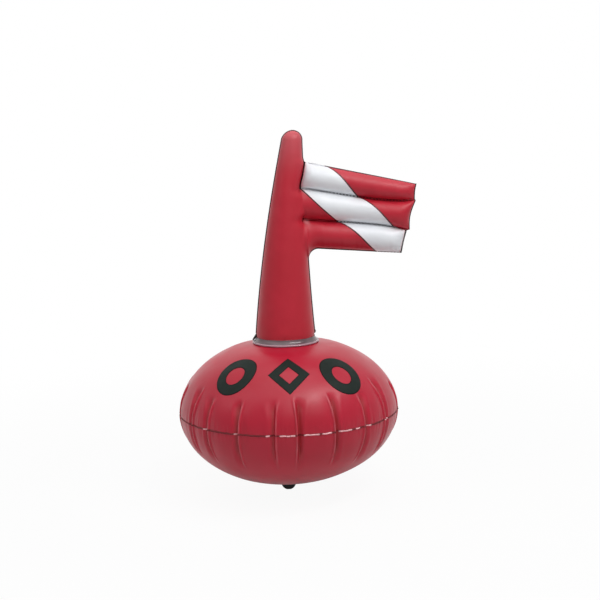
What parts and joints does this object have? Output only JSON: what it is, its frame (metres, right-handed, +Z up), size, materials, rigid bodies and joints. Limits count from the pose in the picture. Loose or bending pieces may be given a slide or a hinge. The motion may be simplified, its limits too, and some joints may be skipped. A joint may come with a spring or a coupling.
{
  "type": "dive flag float",
  "caption": "Inflatable surface float for divers: a round two-panel buoy with a tapering mast, a three-tube flag with a white diagonal stripe, two air valves and a line eye below.",
  "frame": {"origin": "middle of the line lug's flat lower end, the lowest point", "axes": "+Z up along the float's axis, +X towards the flag, -Y is the front seen in the picture"},
  "size_m": [0.4012, 0.3651, 0.5975],
  "materials": {
    "red_film": "glossy red vinyl film, lightly creased",
    "white_film": "glossy white vinyl film",
    "clear_collar": "smoky translucent vinyl ring, glossy",
    "black_lug": "satin black moulded vinyl",
    "valve_body": "milky soft vinyl",
    "valve_cap": "red soft vinyl"
  },
  "bodies": {
    "float": {"float_upper_panel": "red_film", "float_lower_panel": "red_film", "mast_front_sheet": "red_film", "mast_rear_sheet": "red_film", "mast_base_disc": "red_film", "bottom_patch": "red_film", "flag_stripe_front": "white_film", "flag_stripe_rear": "white_film", "mast_collar": "clear_collar", "line_lug": "black_lug", "float_valve_flange": "valve_body", "float_valve_strap": "valve_cap", "mast_valve_flange": "valve_body", "mast_valve_strap": "valve_cap"},
    "float_valve_stem": {"float_valve_stem": "valve_body"},
    "float_valve_stopper": {"float_valve_stopper": "valve_cap"},
    "float_valve_flap": {"float_valve_flap": "valve_body"},
    "mast_valve_stem": {"mast_valve_stem": "valve_body"},
    "mast_valve_stopper": {"mast_valve_stopper": "valve_cap"},
    "mast_valve_flap": {"mast_valve_flap": "valve_body"}
  },
  "joints": [
    {"name": "float_valve_stem_slide", "type": "slide", "parent": "float", "child": "float_valve_stem", "axis": [0.0091, 0.4218, 0.9066], "range_m": [0, 0.01]},
    {"name": "float_valve_stopper_pull", "type": "slide", "parent": "float_valve_stem", "child": "float_valve_stopper", "axis": [0.0091, 0.4218, 0.9066], "range_m": [0, 0.014]},
    {"name": "float_valve_flap_hinge", "type": "hinge", "parent": "float_valve_stem", "child": "float_valve_flap", "pos_m": [0.00296, 0.10261, 0.21993], "axis": [1, -0.0038, -0.0082], "range_deg": [0, 60], "stiffness_Nm_per_rad": 0.0002},
    {"name": "mast_valve_stem_slide", "type": "slide", "parent": "float", "child": "mast_valve_stem", "axis": [0, 0.996, 0.0896], "range_m": [0, 0.01]},
    {"name": "mast_valve_stopper_pull", "type": "slide", "parent": "mast_valve_stem", "child": "mast_valve_stopper", "axis": [0, 0.996, 0.0896], "range_m": [0, 0.014]},
    {"name": "mast_valve_flap_hinge", "type": "hinge", "parent": "mast_valve_stem", "child": "mast_valve_flap", "pos_m": [0.00307, 0.02784, 0.31011], "axis": [0.9996, 0.0027, -0.0298], "range_deg": [0, 60], "stiffness_Nm_per_rad": 0.0002}
  ]
}
